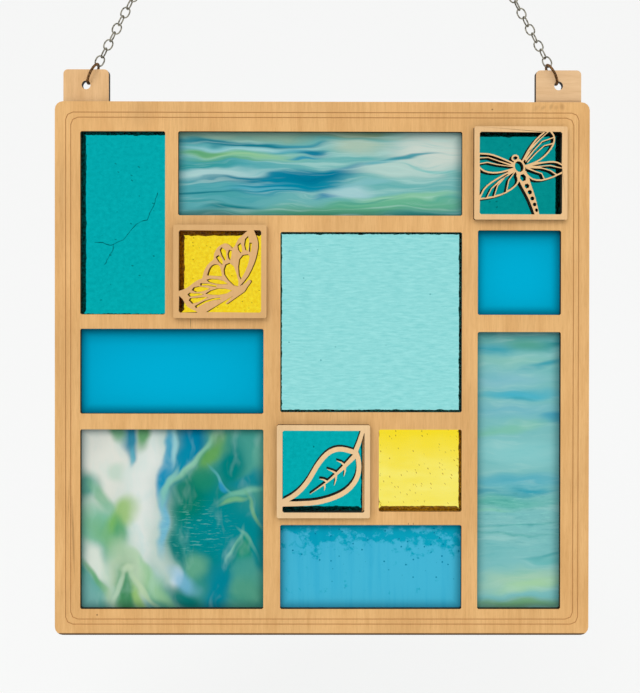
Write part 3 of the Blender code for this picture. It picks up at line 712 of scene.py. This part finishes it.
TALL_SWIRL_WASHES = (
    (50, 98, 80, 3.5, 0, (72, 152, 150), 0.7),
    (20, 93, 35, 1.8, 0, (60, 160, 176), 0.9),
    (90, 94, 22, 1.8, 3, (44, 146, 156), 0.9),
    (60, 94, 20, 2.2, -2, (84, 162, 144), 0.9),
    (45, 88.5, 45, 1.8, 0, (134, 194, 184), 0.9),
    (82, 87.3, 22, 0.9, 4, (58, 158, 174), 0.9),
    (34, 82, 40, 2.6, 0, (134, 192, 202), 0.9),
    (52, 76.5, 40, 1.8, 0, (70, 176, 198), 0.95),
    (52, 75, 14, 0.7, 0, (50, 160, 178), 0.7),
    (40, 71, 60, 2.4, 0, (116, 184, 196), 0.9),
    (92, 68, 16, 1.4, 0, (54, 154, 188), 0.9),
    (35, 64.5, 45, 1.6, 3, (126, 194, 172), 0.9),
    (55, 56, 70, 4.5, 0, (136, 202, 202), 0.9),
    (50, 46, 80, 2, 0, (92, 176, 192), 0.9),
    (12, 42.5, 30, 0.8, 0, (48, 150, 172), 0.6),
    (66, 43, 20, 1, -1, (52, 160, 180), 0.9),
    (55, 41.5, 40, 0.8, 1, (60, 156, 172), 0.7),
    (30, 38.5, 50, 2.2, 0, (94, 180, 166), 0.85),
    (20, 35.5, 22, 0.6, 0, (130, 200, 178), 0.7),
    (50, 30.5, 60, 0.4, 1, (84, 168, 166), 0.6),
    (40, 27, 45, 0.4, -1, (88, 170, 166), 0.6),
    (82, 19, 20, 0.6, 3, (84, 168, 170), 0.9),
    (85, 17.5, 20, 1, 0, (104, 184, 182), 0.7),
    (55, 11, 55, 3.4, 2, (162, 204, 178), 0.95),
    (66, 8.8, 34, 1.8, 3, (166, 210, 162), 0.8),
    (50, 2, 70, 1.8, 0, (116, 162, 122), 0.9),
    (52, 2.8, 30, 0.8, 0, (120, 178, 124), 0.6),
)

# Painted light and shade on the two flat blue panes: a brighter middle, and darker bands along the top
# and the bottom, where the boards keep the light off
FLAT_BLUE_SHADING = (
    (50, 44, 66, 58, 0, (0, 173, 212), 1),
    (50, 100, 120, 14, 0, (1, 122, 151), 0.7),
    (50, 0, 120, 9, 0, (1, 128, 160), 0.7),
)

# The mottled pane, from its ground up: blots, faint runs, and specks
BLOT_SCALES = ((0.17, 1.0, 0.19), (0.045, 1.0, 0.06))
BLOT_COLOUR = colour(0, 160, 188)
RUN_SCALE = (0.22, 1.0, 0.016)
RUN_TINT = (0.76, 0.93, 0.97, 1.0)
SPECK_SCALE = (0.30, 0.01, 0.30)
SPECK_COLOUR = colour(0, 128, 162)


def mottles(shader, surface):
    """Deeper blue blots, thick along the top and thinning out downwards, with faint runs."""
    shares = pane_shares(shader, "mottled_blue_pane")
    height = shader.part(shares, 2)
    place = shader.objects()
    blots = shader.noise(place, BLOT_SCALES[0], 5.0, 0.66)
    patches = shader.noise(place, BLOT_SCALES[1], 1.0)
    blots = shader.sum("ADD", blots, shader.times(patches, 0.35))
    reach = shader.times(shader.fade(height, 0.42, 1.05), 0.30)
    thick = shader.fade(shader.sum("ADD", blots, reach), 0.78, 0.94)
    surface = shader.mix(shader.times(thick, 0.95), surface, BLOT_COLOUR)
    runs = shader.noise(place, RUN_SCALE, 3.0)
    surface = shader.mix(shader.fade(runs, 0.45, 0.70), surface, RUN_TINT, "MULTIPLY")
    distance, chance = shader.cells(shader.stretch(place, SPECK_SCALE))
    speck = shader.fade(distance, 0.20, 0.09)
    kept = shader.fade(shader.sum("MULTIPLY_ADD", height, chance), 0.72, 0.76)
    return shader.mix(shader.times(speck, kept), surface, SPECK_COLOUR)


REAM_PALE = colour(150, 218, 208)
REAM_DARK = (0.74, 0.87, 0.88, 1.0)


def ream(pane, centre, size, ripple, glint):
    """Fine dark and pale ripples over part of a pane."""

    def finish(shader, surface):
        place = shader.objects()
        lines = shader.noise(place, ripple, 3.0, 0.6)
        inside = shader.length(shader.within(pane_shares(shader, pane), centre, size))
        near = shader.fade(inside, 1.4, 0.4)
        pale = shader.times(shader.fade(lines, 0.54, 0.66), near)
        dark = shader.times(shader.fade(lines, 0.46, 0.34), near)
        pale = shader.times(pale, glint)
        surface = shader.mix(pale, surface, REAM_PALE)
        return shader.mix(dark, surface, REAM_DARK, "MULTIPLY")

    return finish


# The crack in the tall teal pane: its line and its branch in shares of the pane, steps
# between two points, how far they stray across and up, half its width, and its colours
TEAL_CRACK = (
    (0.869, 0.665), (0.830, 0.610), (0.801, 0.573), (0.747, 0.520), (0.650, 0.504),
    (0.596, 0.480), (0.486, 0.413), (0.350, 0.384), (0.265, 0.398), (0.173, 0.400),
)
TEAL_CRACK_BRANCH = ((0.377, 0.388), (0.377, 0.360), (0.330, 0.323), (0.282, 0.281))
CRACK_STEPS = 3
CRACK_STRAYS = (0.006, 0.003)
CRACK_HALF_WIDTH = 0.20 * MM
CRACK_COLOURS = (colour(60, 120, 120), colour(20, 60, 64))


def make_crack():
    """A fine crack that stays inside the tall teal pane."""
    low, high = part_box("tall_teal_pane")
    size = high - low
    curve = bpy.data.curves.new("teal_crack", "CURVE")
    curve.dimensions = "3D"
    curve.bevel_depth = CRACK_HALF_WIDTH
    curve.bevel_resolution = 1
    curve.use_fill_caps = True
    jitter = random.Random(4)
    for route in (TEAL_CRACK, TEAL_CRACK_BRANCH):
        places = []
        for start, end in zip(route, route[1:]):
            for step in range(CRACK_STEPS):
                share = step / CRACK_STEPS
                places.append([
                    start[axis] + (end[axis] - start[axis]) * share + jitter.uniform(-stray, stray)
                    for axis, stray in enumerate(CRACK_STRAYS)
                ])
        places.append(route[-1])
        spline = curve.splines.new("POLY")
        spline.points.add(len(places) - 1)
        for point, (across, up) in zip(spline.points, places):
            point.co = (low.x + size.x * across, (low.y + high.y) / 2, low.z + size.z * up, 1.0)
            point.radius = jitter.uniform(0.5, 1.2)
    shader = Shader("crack")
    rough = shader.noise(shader.objects(), (1.0, 1.0, 1.0))
    shader.set(Base_Color=shader.mix(rough, *CRACK_COLOURS), Roughness=0.6)
    piece = add_object("teal_crack", curve)
    curve.materials.append(shader.material)
    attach(piece, ROOT)


# Dark beads, in millimetres: the rim's step, the distances behind the pane of the bead's front
# and back, how far it runs under the boards, its least reach into the window, and what the
# noises in its rim add, as spacing and height
BEAD_STEP = 0.45
BEAD_DEPTHS = (0.05, 0.20)
BEAD_UNDER = 0.8
BEAD_LEAST = 0.1
BEAD_CORNER = 0.3
BEAD_RAGS = ((1.6, 1.0), (0.7, 0.6))
BEAD_RAG = 0.26
BEAD_LUMP_SPACING = 5.0
BEAD_LUMP_OFFSET = Vector((7, 3, 1))
BEAD_LUMP_FROM = 0.15


def ragged_bead(pane, reaches):
    """A dark bead with a ragged rim, between a clear pane and the back board.

    reaches are how far it comes into the window, in millimetres: below, right, above, left.
    """
    low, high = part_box(pane)
    front, back = [high.y + depth * MM for depth in BEAD_DEPTHS]
    left, right = low.x + GLASS_SEAT, high.x - GLASS_SEAT
    bottom, top = low.z + GLASS_SEAT, high.z - GLASS_SEAT
    corners = ((left, 0, bottom), (right, 0, bottom), (right, 0, top), (left, 0, top))
    corners = [Vector(corner) for corner in corners]
    inwards = [Vector(way) for way in ((0, 0, 1), (-1, 0, 0), (0, 0, -1), (1, 0, 0))]
    rim, outer = [], []
    for start, end, inward, least in zip(corners, corners[1:] + corners[:1], inwards, reaches):
        steps = round((end - start).length / (BEAD_STEP * MM))
        for step in range(steps):
            point = start.lerp(end, step / steps)
            rag = sum(share * noise.noise(point / (wide * MM)) for wide, share in BEAD_RAGS)
            lump = noise.noise(point / (BEAD_LUMP_SPACING * MM) + BEAD_LUMP_OFFSET) - BEAD_LUMP_FROM
            reach = (least + BEAD_RAG * rag + max(lump, 0.0)) * MM
            from_corner = min(step, steps - step) * BEAD_STEP * MM
            reach = min(max(reach, BEAD_LEAST * MM), max(from_corner, BEAD_CORNER * MM))
            rim.append(point + inward * reach)
            outer.append(point - inward * BEAD_UNDER * MM)
    return ring_mesh(f"{pane}_bead", rim, outer, front, back)


def ring_mesh(name, rim, outer, front, back):
    """A flat closed band between two loops of points."""
    shape = bmesh.new()
    loops = []
    for points, y in ((rim, front), (outer, front), (outer, back), (rim, back)):
        loops.append([shape.verts.new((point.x, y, point.z)) for point in points])
    count = len(rim)
    for first, second in zip(loops, loops[1:] + loops[:1]):
        for index in range(count):
            ahead = (index + 1) % count
            shape.faces.new((first[index], first[ahead], second[ahead], second[index]))
    bmesh.ops.recalc_face_normals(shape, faces=shape.faces)
    return finished_mesh(shape, name)


def bead_material(name, dark, light):
    shader = Shader(name)
    rough = shader.noise(shader.objects(), (0.8, 0.8, 0.8), 2.0)
    shade = shader.mix(shader.fade(rough, *NOISE_MIDDLE), colour(*dark), colour(*light))
    shader.set(Base_Color=shade, Roughness=0.8, Specular_IOR_Level=0.1)
    return shader.material


def deeper_top(shader, tint):
    """The small yellow pane is deeper in its top third."""
    shares = pane_shares(shader, "small_yellow_pane")
    swirl = shader.noise(shader.objects(), (0.08, 1.0, 0.12), 2.0)
    height = shader.sum("ADD", shader.part(shares, 2), shader.times(swirl, 0.3))
    return shader.mix(shader.fade(height, 0.55, 1.15), tint, colour(252, 226, 30))


# Clear glass: deep and bright colour, ripples, and the seeds' colour, spacing and size
TEAL_RIPPLE = (0.34, 1.0, 0.42)
CLEAR_GLASS = {
    "teal": ((0, 166, 172), (4, 179, 184), TEAL_RIPPLE, (0, 112, 112), 4.2, 0.34),
    "deep_teal": ((0, 139, 139), (4, 149, 147), TEAL_RIPPLE, (0, 96, 96), 4.2, 0.34),
    "yellow": ((243, 204, 14), (252, 228, 52), (0.55, 1.0, 0.55), (176, 138, 12), 2.0, 0.28),
    "pale_yellow": (
        (252, 234, 84), (255, 243, 122), (0.03, 1.0, 0.10), (168, 128, 22), 1.7, 0.28, deeper_top,
    ),
    "aqua": ((137, 217, 217), (161, 233, 232), (0.15, 1.0, 0.80), (96, 176, 180), 8.0, 0.34),
}
BEADS = {
    "black": ((52, 54, 46), (132, 130, 114)),
    "green": ((104, 130, 112), (200, 214, 194)),
    "brown": ((150, 104, 48), (210, 164, 98)),
}

# Clear panes: glass, slot, the mesh's cells, the depth and length of its waves, bead, and how
# far the bead comes into the window below, right, above and left, all in millimetres
CLEAR_PANES = (
    ("tall_teal", "teal", "teal_glass", 0.8, 0.16, (4.5, 5.0), "green", (0.3, 0.4, 1.25, 1.8)),
    ("dragonfly", "deep_teal", "teal_glass", 0.8, 0.16, (4.5, 5.0), "green", (0.3, 1.8, 1.7, 0.3)),
    ("leaf", "teal", "teal_glass", 0.8, 0.14, (5.0, 5.0), "green", (1.7, 0.4, 0.3, 0.3)),
    ("butterfly", "yellow", "yellow_glass", 0.7, 0.10, (2.6, 2.6), "brown", (0.3, 0.5, 2.3, 2.7)),
    (
        "small_yellow", "pale_yellow", "yellow_glass", 0.7, 0.10, (2.6, 2.6), "brown",
        (1.9, 0.8, 0.4, 0.3),
    ),
    ("large_aqua", "aqua", "aqua_glass", 0.8, 0.20, (9.0, 3.0), "black", (0.7, 0.8, 0.85, 0.6)),
)


def make_clear_panes():
    """The see-through panes, each with its ragged bead behind it."""
    glass = {name: clear_glass(f"{name}_glass", *recipe) for name, recipe in CLEAR_GLASS.items()}
    beads = {name: bead_material(f"{name}_bead", *shades) for name, shades in BEADS.items()}
    for name, material, slot, cell, depth, waves, bead, reaches in CLEAR_PANES:
        pane = f"{name}_pane"
        mesh = pane_mesh(pane, cell * MM, depth * MM, [size * MM for size in waves])
        add_piece(f"{name}_glass", mesh, glass[material], slot, pane)
        add_piece(f"{name}_bead", ragged_bead(pane, reaches), beads[bead], "core_wood")


# Milky panes: slot, ground colour, washes and their rims, how far and how finely they are
# stirred, the fine streaks' scale and strength, and what lies over it all
CRISP, SOFT = (1.45, 0.35), (1.80, 0.10)
CALM, EVEN = (0.0, 0.0, 0.0), (0.03, 1.0, 0.03)
LARGE_REAM = ream("large_swirl_pane", (0.60, 0.44), (0.20, 0.14), (0.16, 1.0, 0.9), 0.26)
TALL_REAM = ream("tall_swirl_pane", (0.50, 0.33), (0.60, 0.12), (0.12, 1.0, 0.8), 0.30)
MILKY_PANES = (
    (
        "wide_swirl", "swirl_glass", (112, 180, 178), WIDE_SWIRL_WASHES, CRISP,
        (0.06, 0.0, 0.22), (0.035, 1.0, 0.11), ((3.0, 1.0, 20.0), 0.45),
    ),
    (
        "large_swirl", "swirl_glass", (88, 164, 148), LARGE_SWIRL_WASHES, CRISP,
        (0.095, 0.0, 0.095), (0.06, 1.0, 0.06), ((8.0, 1.0, 3.5), 0.22), LARGE_REAM,
    ),
    (
        "tall_swirl", "swirl_glass", (124, 190, 190), TALL_SWIRL_WASHES, SOFT,
        (0.20, 0.0, 0.050), (0.05, 1.0, 0.12), ((1.4, 1.0, 34.0), 0.25), TALL_REAM,
    ),
    ("small_blue", "blue_glass", (1, 148, 180), FLAT_BLUE_SHADING, SOFT, CALM, EVEN),
    ("wide_blue", "blue_glass", (1, 148, 183), FLAT_BLUE_SHADING, SOFT, CALM, EVEN),
    (
        "mottled_blue", "mottled_blue_glass", (68, 182, 214), (), SOFT, CALM, EVEN, None,
        mottles,
    ),
)
MILKY_CELL = 1.5 * MM
MILKY_WAVE_DEPTH = 0.08 * MM
MILKY_WAVES = (22 * MM, 14 * MM)


def make_milky_panes():
    """The milky panes, with long shallow waves in their fronts."""
    for name, slot, *recipe in MILKY_PANES:
        pane = f"{name}_pane"
        material = opal_glass(f"{name}_opal", pane, *recipe)
        mesh = pane_mesh(pane, MILKY_CELL, MILKY_WAVE_DEPTH, MILKY_WAVES)
        add_piece(f"{name}_glass", mesh, material, slot, pane)


# Chain and rings


def add_wire(shape, path, normal, radius, sides, closed=True):
    """A round wire along a flat path of points."""
    rings = []
    count = len(path)
    for index, point in enumerate(path):
        ahead = path[(index + 1) % count] if closed or index + 1 < count else point
        behind = path[index - 1] if closed or index else point
        outward = (ahead - behind).normalized().cross(normal)
        ring = []
        for side in range(sides):
            angle = 2 * math.pi * side / sides
            offset = (outward * math.cos(angle) + normal * math.sin(angle)) * radius
            ring.append(shape.verts.new(point + offset))
        rings.append(ring)
    spans = count if closed else count - 1
    for index in range(spans):
        start, end = rings[index], rings[(index + 1) % count]
        for side in range(sides):
            turned = (side + 1) % sides
            shape.faces.new((start[side], end[side], end[turned], start[turned]))
    if not closed:
        shape.faces.new(rings[0])
        shape.faces.new(rings[-1][::-1])


def wire_mesh(name, wires, radius, sides, closed=True):
    shape = bmesh.new()
    for path, normal in wires:
        add_wire(shape, path, normal, radius, sides, closed)
    bmesh.ops.recalc_face_normals(shape, faces=shape.faces)
    mesh = finished_mesh(shape, name)
    mesh.shade_smooth()
    return mesh


def metal(name, light, dark, roughness):
    """Antiqued metal: worn bright in patches, and dark where the patina stays."""
    shader = Shader(name)
    place = shader.objects()
    patina = shader.noise(place, (0.8, 0.8, 0.8), 4.0, 0.6)
    worn = shader.fade(patina, 0.36, 0.62)
    shader.set(
        Base_Color=shader.mix(worn, colour(*dark), colour(*light)),
        Metallic=1.0,
        Roughness=shader.sum("MULTIPLY_ADD", patina, roughness),
    )
    shader.bump(patina, 0.2, 0.05 * MM)
    return shader.material


def link_outline(centre, along, aside, steps=20):
    """An oval link, a little squarer than an ellipse."""
    path = []
    for step in range(steps):
        angle = 2 * math.pi * step / steps
        across = math.copysign(abs(math.cos(angle)) ** LINK_SQUARENESS, math.cos(angle))
        up = math.copysign(abs(math.sin(angle)) ** LINK_SQUARENESS, math.sin(angle))
        path.append(centre + aside * across * LINK_HALF_WIDTH + along * up * LINK_HALF_LENGTH)
    return path


def make_leg(side, steel, brass):
    """The chain and the jump ring on one side."""
    ring_centre = box_centre(f"{side}_jump_ring")
    along = (box_centre("top_ring") - ring_centre).normalized()
    depth = Vector((0.0, 1.0, 0.0))
    slack = random.Random(side)
    links = []
    for number in range(LINKS_PER_LEG):
        centre = ring_centre + along * (FIRST_LINK_FROM_RING + number * LINK_PITCH)
        centre.x += LEG_SHIFT[side] * (1 - number / LINKS_PER_LEG)
        turn = LINK_TURN[side] if number % 2 else 0.0
        turn += math.radians(slack.uniform(-LINK_SLACK, LINK_SLACK))
        spin = Matrix.Rotation(turn, 3, along)
        aside = spin @ along.cross(depth)
        links.append((link_outline(centre, along, aside), spin @ depth))
    mesh = wire_mesh(f"{side}_links", links, LINK_WIRE / 2, 8)
    add_piece(f"{side}_links", mesh, steel, "chain_steel", f"{side}_chain")

    low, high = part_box(f"{side}_jump_ring")
    radius = (high.y - low.y - JUMP_RING_WIRE) / 2
    start, turned = JUMP_RING_GAP_AT + JUMP_RING_HALF_GAP, 2 * math.pi - 2 * JUMP_RING_HALF_GAP
    path = []
    for step in range(JUMP_RING_STEPS + 1):
        angle = start + turned * step / JUMP_RING_STEPS
        path.append(ring_centre + (along * math.cos(angle) + depth * math.sin(angle)) * radius)
    wires = [(path, along.cross(depth))]
    mesh = wire_mesh(f"{side}_ring", wires, JUMP_RING_WIRE / 2, 14, closed=False)
    add_piece(f"{side}_ring", mesh, brass, "ring_brass", f"{side}_jump_ring")


def make_top_ring(steel):
    low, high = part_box("top_ring")
    radius = (high.x - low.x - TOP_RING_WIRE) / 2
    path = []
    for step in range(TOP_RING_STEPS):
        angle = 2 * math.pi * step / TOP_RING_STEPS
        path.append(box_centre("top_ring") + Vector((math.cos(angle), 0.0, math.sin(angle))) * radius)
    mesh = wire_mesh("hanging_ring", [(path, Vector((0.0, 1.0, 0.0)))], TOP_RING_WIRE / 2, 16)
    add_piece("hanging_ring", mesh, steel, "chain_steel", "top_ring")


def make_metalwork():
    steel = metal("antique_steel", (180, 175, 160), (92, 88, 76), 0.20)
    brass = metal("antique_brass", (156, 116, 74), (70, 48, 30), 0.25)
    for side in ("left", "right"):
        make_leg(side, steel, brass)
    make_top_ring(steel)


# The least lean of a wall against the corner's direction, so that no sharp corner moves far
SHARPEST_LEAN = 0.6


def trim_strokes(shape, low, high, trim):
    """Moves the sawn sides of the cut-out inwards, and leaves the border's sides alone."""
    moves = {}
    for vert in shape.verts:
        walls = [face.normal for face in vert.link_faces if abs(face.normal.y) < 0.5]
        inside = min(vert.co.x - low.x, high.x - vert.co.x, vert.co.z - low.z, high.z - vert.co.z)
        if not walls or inside < 0.05 * MM:
            continue
        slope = sum(walls, Vector()).normalized()
        lean = max(min(slope.dot(wall) for wall in walls), SHARPEST_LEAN)
        moves[vert] = slope * trim / lean
    for vert, move in moves.items():
        vert.co -= Vector((move.x, 0.0, move.z))


def cut_out(name, trim):
    """A raised frame with finer strokes, and the same strokes again, one board deeper: a dark copy
    that is partly their burnt sides and partly painted shadow on the glass.
    """
    low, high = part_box(name)
    shape = bmesh.new()
    shape.from_mesh(NODES[name].data)
    bmesh.ops.remove_doubles(shape, verts=shape.verts, dist=0.001 * MM)
    shape.normal_update()
    trim_strokes(shape, low, high, trim)
    face = bpy.data.meshes.new(f"{name}_face")
    shape.to_mesh(face)

    # Grown a little, so that a dark rim shows round the clean strokes: burnt sides and painted shadow
    # on the glass
    trim_strokes(shape, low, high, -SOOT_AND_SHADOW_RIM)
    inner = OVERLAY_BORDER + STROKES_FROM_BORDER
    cuts = (
        ((low.x + inner, 0, 0), (-1, 0, 0)),
        ((high.x - inner, 0, 0), (1, 0, 0)),
        ((0, 0, low.z + inner), (0, 0, -1)),
        ((0, 0, high.z - inner), (0, 0, 1)),
    )
    for place, outwards in cuts:
        parts = shape.verts[:] + shape.edges[:] + shape.faces[:]
        bmesh.ops.bisect_plane(shape, geom=parts, plane_co=place, plane_no=outwards, clear_outer=True)
        open_edges = [edge for edge in shape.edges if edge.is_boundary]
        bmesh.ops.holes_fill(shape, edges=open_edges)
    middle = (low.y + high.y) / 2
    just_behind, window_back = high.y + 0.02 * MM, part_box("core_frame")[0].y - 0.05 * MM
    for vert in shape.verts:
        vert.co.y = just_behind if vert.co.y < middle else window_back
    return face, finished_mesh(shape, f"{name}_depth")


def dress_wood():
    """The boards keep their solids' meshes. The raised frames are cut again, finer and deeper."""
    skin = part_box("front_frame")[0].y / MM + ENGRAVING_DEPTH
    finishes = {
        "front_frame": wood("front_wood", (236, 187, 124), "front", front_details, skin),
        "core_frame": wood("core_wood", (240, 196, 143), "both", tab_details),
        "back_frame": wood("back_wood", (233, 186, 126), "back"),
        "leaf_frame": wood("leaf_wood", (240, 204, 155), "both", grain=0.4),
        "dragonfly_frame": wood("dragonfly_wood", (236, 194, 141), "both", grain=0.4),
        "butterfly_frame": wood("butterfly_wood", (226, 180, 122), "both", grain=0.4),
    }
    for name in ("front_frame", "core_frame", "back_frame"):
        slots = NODES[name].data.materials
        slots.clear()
        slots.append(finishes[name])
    sawn = sawn_and_shadow_wood("sawn_and_shadow_wood")
    for name, trim in STROKE_TRIMS.items():
        face, depth = cut_out(name, trim)
        add_piece(f"{name}_face", face, finishes[name], "overlay_wood", name)
        # The deeper strokes are dark: burnt sides, and painted shadow on the glass
        add_piece(f"{name}_depth", depth, sawn, "overlay_wood")


# Camera, light and stage


def make_camera():
    data = bpy.data.cameras.new("camera")
    data.sensor_fit = "HORIZONTAL"
    data.sensor_width = SENSOR
    data.lens = FOCAL_PIXELS / IMAGE_WIDTH * SENSOR
    data.shift_x = OPTICAL_CENTRE_OFFSET[0] / IMAGE_WIDTH
    data.shift_y = -OPTICAL_CENTRE_OFFSET[1] / IMAGE_WIDTH
    camera = add_object("camera", data)
    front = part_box("front_frame")[0].y
    camera.location = (CAMERA_X, front - CAMERA_DISTANCE, CAMERA_Z)
    level = Euler((math.pi / 2 + CAMERA_PITCH, 0.0, -CAMERA_YAW)).to_matrix()
    roll = Matrix.Rotation(-CAMERA_ROLL, 3, "Z")
    camera.rotation_euler = (level @ roll).to_euler()
    bpy.context.scene.camera = camera


def make_stage():
    """A pale floor that curves up into a backdrop."""
    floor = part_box("front_frame")[0].z - FLOOR_BELOW_PANEL
    profile = [(-STAGE_FRONT, floor)]
    for step in range(STAGE_CURVE_STEPS + 1):
        angle = math.pi / 2 * step / STAGE_CURVE_STEPS
        y = STAGE_BACK - STAGE_CURVE + STAGE_CURVE * math.sin(angle)
        z = floor + STAGE_CURVE - STAGE_CURVE * math.cos(angle)
        profile.append((y, z))
    profile.append((STAGE_BACK, STAGE_HEIGHT))
    shape = bmesh.new()
    left, right = [
        [shape.verts.new((x, y, z)) for y, z in profile] for x in (-STAGE_HALF_WIDTH, STAGE_HALF_WIDTH)
    ]
    for index in range(len(profile) - 1):
        shape.faces.new((left[index], right[index], right[index + 1], left[index + 1]))
    mesh = finished_mesh(shape, "backdrop")
    mesh.shade_smooth()
    shader = Shader("backdrop")
    glow = shader.fade(shader.part(shader.objects(), 1), *GLOW_FADES)
    glow = shader.sum("MAXIMUM", glow, GLOW_IN_FRONT)
    shader.set(
        Base_Color=shader.mix(glow, GREY_IN_FRONT, GREY_BEHIND),
        Emission_Color=GLOW_COLOUR,
        Emission_Strength=shader.times(glow, STAGE_GLOW),
        Roughness=1.0,
        Specular_IOR_Level=0.0,
    )
    mesh.materials.append(shader.material)
    backdrop = add_object("backdrop", mesh)


def add_lamp(name, place, size, power):
    data = bpy.data.lights.new(name, "AREA")
    data.size = size
    data.energy = power
    lamp = add_object(name, data)
    lamp.location = place
    target = Vector((0.0, 0.0, box_centre("front_frame").z))
    lamp.rotation_euler = (target - Vector(place)).to_track_quat("-Z", "Y").to_euler()


def make_light():
    scene = bpy.context.scene
    scene.view_settings.view_transform = "Standard"
    world = bpy.data.worlds.new("studio")
    world.use_nodes = True
    nodes, links = world.node_tree.nodes, world.node_tree.links
    height = nodes.new("ShaderNodeSeparateXYZ")
    links.new(nodes.new("ShaderNodeTexCoord").outputs["Generated"], height.inputs[0])
    strength = nodes.new("ShaderNodeMapRange")
    links.new(height.outputs[2], strength.inputs["Value"])
    strength.inputs["From Min"].default_value = -1.0
    strength.inputs["To Min"].default_value = SKY_STRENGTH[0]
    strength.inputs["To Max"].default_value = SKY_STRENGTH[1]
    links.new(strength.outputs["Result"], nodes["Background"].inputs["Strength"])
    nodes["Background"].inputs["Color"].default_value = (1.0, 1.0, 1.0, 1.0)
    scene.world = world
    for lamp in LAMPS:
        add_lamp(*lamp)


def main():
    make_camera()
    make_light()
    make_stage()
    dress_wood()
    make_clear_panes()
    make_crack()
    make_milky_panes()
    make_metalwork()


main()
